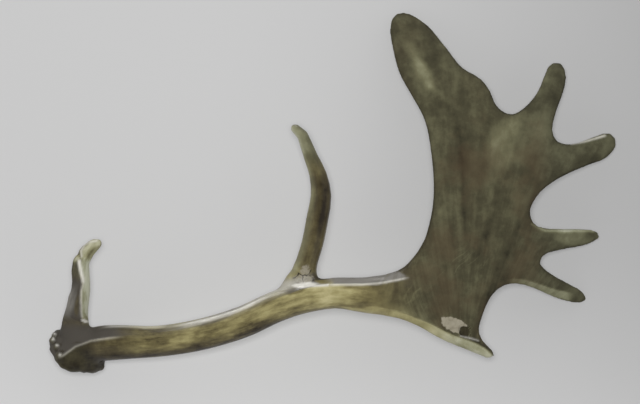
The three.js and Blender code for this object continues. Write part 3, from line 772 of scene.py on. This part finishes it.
polished = kept("glossy")
roughness = sum_of(eased(tone_now, 0.15, 0.6, 0.44, 0.30), eased(polished, 0, 1, 0.16, 0.0))
tree.links.new(roughness, shader.inputs["Roughness"])
tree.links.new(eased(polished, 0, 1, 0.01, 0.45), shader.inputs["Coat Weight"])
shader.inputs["Coat Roughness"].default_value = 0.13
shader.inputs["Specular IOR Level"].default_value = 0.02
relief = sum_of(product(threads, 0.5), smudges, 0.9)
relief = product(relief, eased(streaky_part, 0, 1, 0.4, 1.0))
relief = sum_of(relief, crack_lines, -0.8)
bump = made("ShaderNodeBump", {"Height": relief, "Strength": 0.3, "Distance": 0.0006})
tree.links.new(bump.outputs["Normal"], shader.inputs["Normal"])
skin.materials.clear()
skin.materials.append(bone)
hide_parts("beam", "brow_tine", "trez_tine", "palm")
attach(antler, "root")

# The floor: a wide sheet of plain pale paper that the antler lies on, with painted shade that makes it a
# little darker towards the right and painted light that makes it paler towards the front. It gives off a
# little light of its own, so that shadows on it stay faint.
FLOOR_REACH = 6
FLOOR_CORNERS = ((-1, -1), (1, -1), (1, 1), (-1, 1))
PAPER_MIDDLE = (0.43, 0.43, 0.43, 1)
PAPER_RIGHT = (0.24, 0.24, 0.24, 1)
PAPER_FRONT = (0.53, 0.53, 0.53, 1)
PAPER_GLOW = 0.5
floor_mesh = bpy.data.meshes.new("floor")
floor_corners = [(FLOOR_REACH * right, FLOOR_REACH * back, 0) for right, back in FLOOR_CORNERS]
floor_mesh.from_pydata(floor_corners, [], [(0, 1, 2, 3)])
floor = bpy.data.objects.new("floor", floor_mesh)
bpy.context.collection.objects.link(floor)
paper = bpy.data.materials.new("floor_paper")
paper.use_nodes = True
tree = paper.node_tree
shader = tree.nodes["Principled BSDF"]
where = made("ShaderNodeSeparateXYZ", {"Vector": made("ShaderNodeTexCoord", {}).outputs["Object"]}).outputs
# Painted shade towards the right and painted light towards the front of the paper.
paper_tint = blended(eased(where["X"], -0.15, 0.70), PAPER_MIDDLE, PAPER_RIGHT)
paper_tint = blended(eased(where["Y"], 0.0, -0.60), paper_tint, PAPER_FRONT)
tree.links.new(paper_tint, shader.inputs["Base Color"])
tree.links.new(paper_tint, shader.inputs["Emission Color"])
shader.inputs["Emission Strength"].default_value = PAPER_GLOW
shader.inputs["Roughness"].default_value = 0.9
shader.inputs["Specular IOR Level"].default_value = 0.0
floor_mesh.materials.append(paper)

# The light: a white room that is dimmer overhead, with a broad soft lamp at the back wall. A low strip shows
# only in the polish, and a soft lamp beside the camera lights the rest without showing there.
world = bpy.data.worlds.new("studio")
world.use_nodes = True
tree = world.node_tree
room = tree.nodes["Background"]
room.inputs["Color"].default_value = (1, 1, 1, 1)
way = made("ShaderNodeTexCoord", {}).outputs["Generated"]
way_up = made("ShaderNodeSeparateXYZ", {"Vector": way}).outputs["Z"]
tree.links.new(eased(way_up, 0.50, 0.90, 0.50, 0.10), room.inputs["Strength"])
bpy.context.scene.world = world


def softbox(name, stands_at, aim, wide, high, power):
    """A flat soft lamp that shines from where it stands towards a point."""
    lamp = bpy.data.lights.new(name, "AREA")
    lamp.shape = "RECTANGLE"
    lamp.size = wide
    lamp.size_y = high
    lamp.energy = power
    stand = bpy.data.objects.new(name, lamp)
    stand.location = stands_at
    stand.rotation_euler = (Vector(aim) - Vector(stands_at)).to_track_quat("-Z", "Y").to_euler()
    bpy.context.collection.objects.link(stand)
    return stand


softbox("back_wall_light", (-0.3, 1.7, 0.42), (0, 0, 0.1), wide=3.0, high=0.7, power=4.5)
low_strip = softbox("low_strip", (0.0, 1.15, 0.10), (0, 0, 0.06), wide=2.4, high=0.20, power=10)
low_strip.visible_diffuse = False
overhead = softbox("overhead", (-0.06, 0.08, 2.8), (-0.03, 0.0, 0), wide=0.5, high=0.5, power=43)
overhead.visible_glossy = False
overhead.visible_camera = False

# The camera: hung three metres over the floor, looking straight down on the antler. Its lens is long enough
# to show about one millimetre of antler as one point of a picture 640 points wide.
CAMERA_PLACE = (-0.01304, -0.00845, 3.0)
SENSOR_WIDTH = 36
PICTURE_WIDTH = 640
LENS_IN_POINTS = 2955
camera_data = bpy.data.cameras.new("camera")
camera_data.sensor_width = SENSOR_WIDTH
camera_data.lens = SENSOR_WIDTH * LENS_IN_POINTS / PICTURE_WIDTH
camera = bpy.data.objects.new("camera", camera_data)
camera.location = CAMERA_PLACE
bpy.context.collection.objects.link(camera)
bpy.context.scene.camera = camera
bpy.context.scene.view_settings.view_transform = "Standard"
